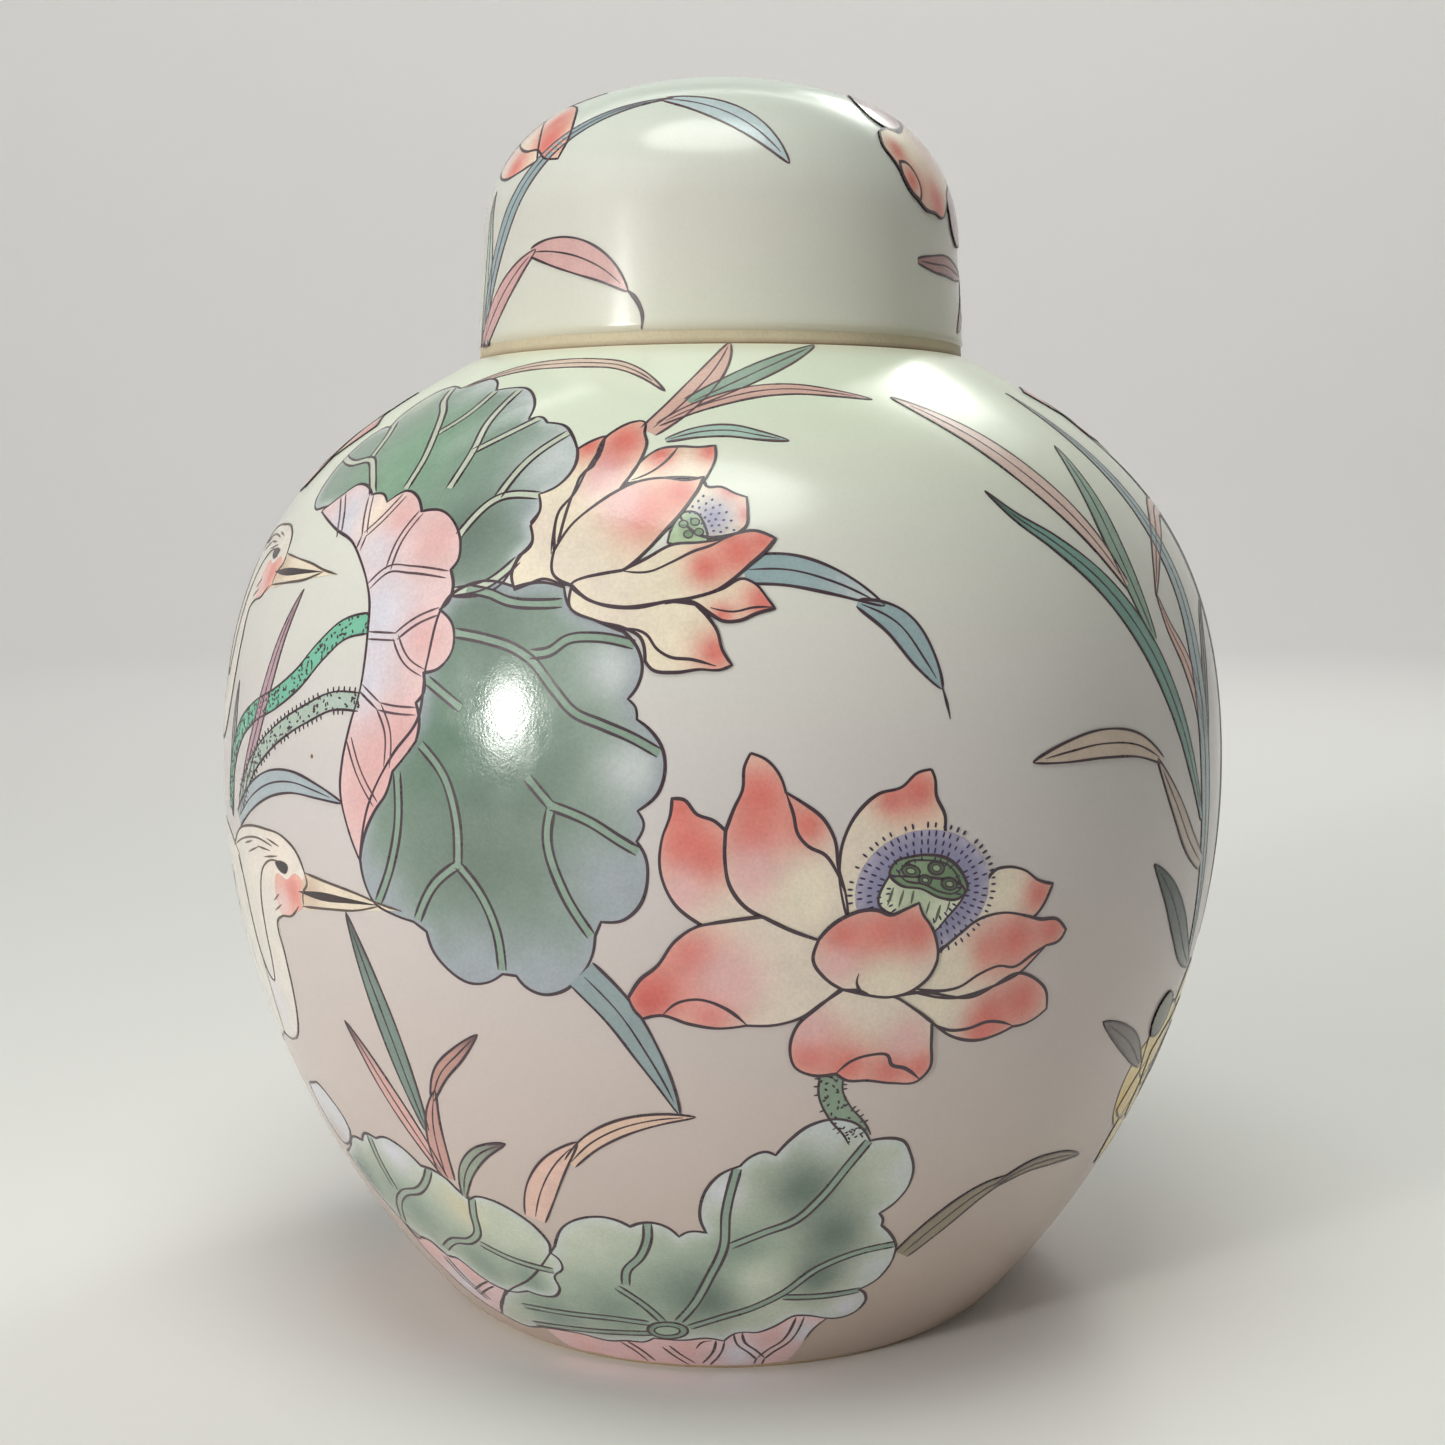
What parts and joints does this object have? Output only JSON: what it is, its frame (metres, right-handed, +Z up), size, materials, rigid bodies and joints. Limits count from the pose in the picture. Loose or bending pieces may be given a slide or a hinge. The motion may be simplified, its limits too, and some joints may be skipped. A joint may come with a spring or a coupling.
{
  "type": "ginger jar",
  "caption": "Full-bellied porcelain ginger jar with an upright collar, a bare foot ring and a domed cap lid that lifts off over the collar.",
  "frame": {"origin": "centre of the foot ring, on the plane that the jar stands on", "axes": "+Z up along the jar's axis, -Y the painted front"},
  "size_m": [0.2116, 0.2116, 0.254],
  "materials": {
    "bare_porcelain": "unglazed, fired tan",
    "outer_glaze": "soft gloss, pale celadon cream, painted with enamels",
    "inner_glaze": "gloss, plain white"
  },
  "bodies": {
    "jar": {"jar_body": "bare_porcelain", "jar_outer_glaze": "outer_glaze", "jar_inner_glaze": "inner_glaze", "base_glaze": "inner_glaze"},
    "lid": {"lid_body": "bare_porcelain", "lid_outer_glaze": "outer_glaze", "lid_inner_glaze": "inner_glaze"}
  },
  "joints": [
    {"name": "lid_lift", "type": "slide", "parent": "jar", "child": "lid", "axis": [0, 0, 1], "range_m": [0, 0.12]}
  ]
}
